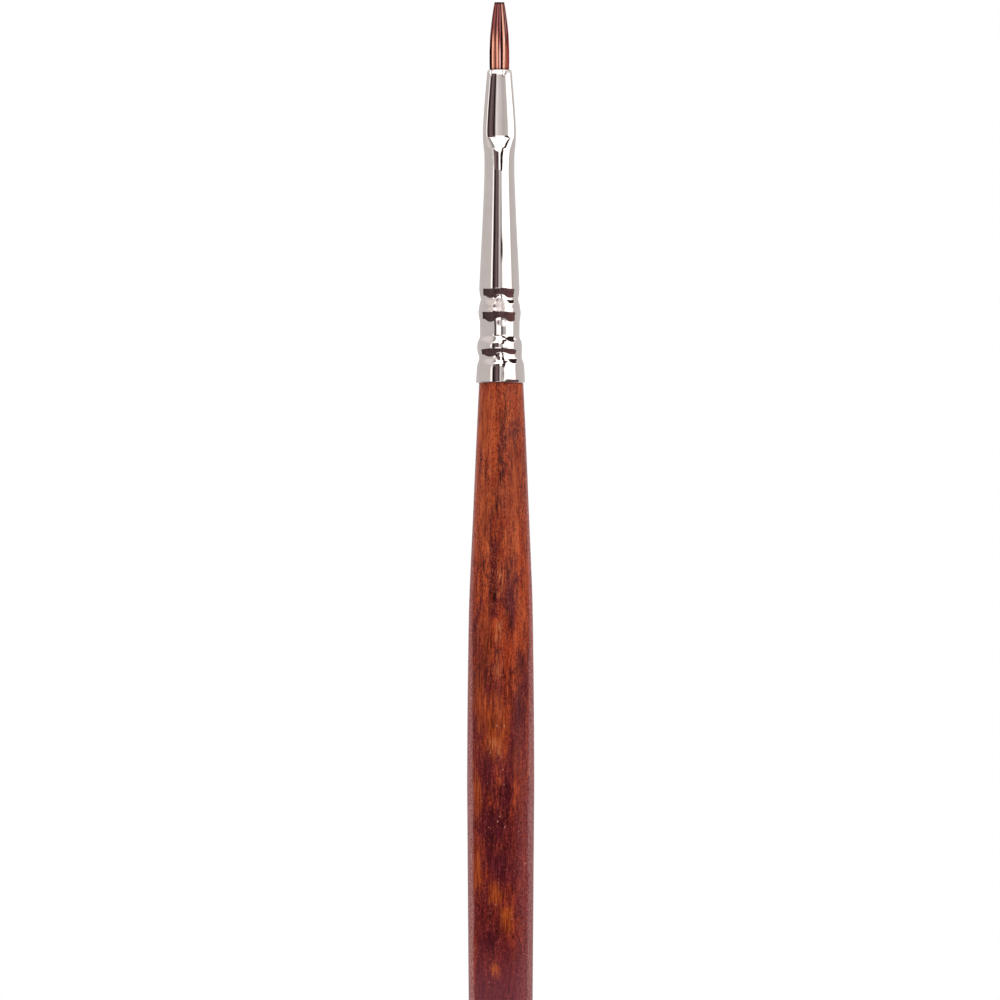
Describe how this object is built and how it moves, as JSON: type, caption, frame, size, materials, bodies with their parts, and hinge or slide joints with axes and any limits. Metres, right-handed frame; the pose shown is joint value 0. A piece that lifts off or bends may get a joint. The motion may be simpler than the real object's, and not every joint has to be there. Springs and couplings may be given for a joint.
{
  "type": "fine detail brush",
  "caption": "Small flat detail brush with a chisel-ended tuft, a pinched and crimped nickel-plated ferrule and a turned, lacquered wooden handle.",
  "frame": {"origin": "centre of the small flat face turned on the butt end of the handle", "axes": "+Z along the brush from the butt end to the tip of the tuft; the flat face of the ferrule faces -Y, and its width runs along X"},
  "size_m": [0.007, 0.007, 0.19],
  "materials": {
    "lacquered_wood": "gloss",
    "nickel_plate": "polished",
    "brush_hair": "satin",
    "cured_resin": "gloss",
    "binding_cotton": "matte"
  },
  "bodies": {
    "grip": {"handle": "lacquered_wood", "ferrule": "nickel_plate", "epoxy_plug": "cured_resin", "hair_root_knot": "brush_hair", "binding_thread": "binding_cotton"},
    "tuft_heel": {"heel_lock_01": "brush_hair", "heel_lock_02": "brush_hair", "heel_lock_03": "brush_hair", "heel_lock_04": "brush_hair", "heel_lock_05": "brush_hair", "heel_lock_06": "brush_hair", "heel_lock_07": "brush_hair", "heel_lock_08": "brush_hair", "heel_lock_09": "brush_hair", "heel_lock_10": "brush_hair", "heel_lock_11": "brush_hair", "heel_lock_12": "brush_hair", "heel_lock_13": "brush_hair", "heel_lock_14": "brush_hair"},
    "tuft_belly": {"belly_lock_01": "brush_hair", "belly_lock_02": "brush_hair", "belly_lock_03": "brush_hair", "belly_lock_04": "brush_hair", "belly_lock_05": "brush_hair", "belly_lock_06": "brush_hair", "belly_lock_07": "brush_hair", "belly_lock_08": "brush_hair", "belly_lock_09": "brush_hair", "belly_lock_10": "brush_hair", "belly_lock_11": "brush_hair", "belly_lock_12": "brush_hair", "belly_lock_13": "brush_hair", "belly_lock_14": "brush_hair"},
    "tuft_toe": {"toe_lock_01": "brush_hair", "toe_lock_02": "brush_hair", "toe_lock_03": "brush_hair", "toe_lock_04": "brush_hair", "toe_lock_05": "brush_hair", "toe_lock_06": "brush_hair", "toe_lock_07": "brush_hair", "toe_lock_08": "brush_hair", "toe_lock_09": "brush_hair", "toe_lock_10": "brush_hair", "toe_lock_11": "brush_hair", "toe_lock_12": "brush_hair", "toe_lock_13": "brush_hair", "toe_lock_14": "brush_hair"}
  },
  "joints": [
    {"name": "tuft_sway", "type": "hinge", "parent": "grip", "child": "tuft_heel", "pos_m": [0, 0, 0.18305], "axis": [0, 1, 0], "range_deg": [-10, 10], "stiffness_Nm_per_rad": 0.000006},
    {"name": "tuft_bend", "type": "hinge", "parent": "tuft_heel", "child": "tuft_belly", "pos_m": [0, 0, 0.18455], "axis": [1, 0, 0], "range_deg": [-22, 22], "stiffness_Nm_per_rad": 0.0000024},
    {"name": "tip_bend", "type": "hinge", "parent": "tuft_belly", "child": "tuft_toe", "pos_m": [0, 0, 0.18685], "axis": [1, 0, 0], "range_deg": [-22, 22], "stiffness_Nm_per_rad": 0.0000003}
  ],
  "couplings": [
    {"joint": "tip_bend", "follows": "tuft_bend", "ratio": 1}
  ]
}
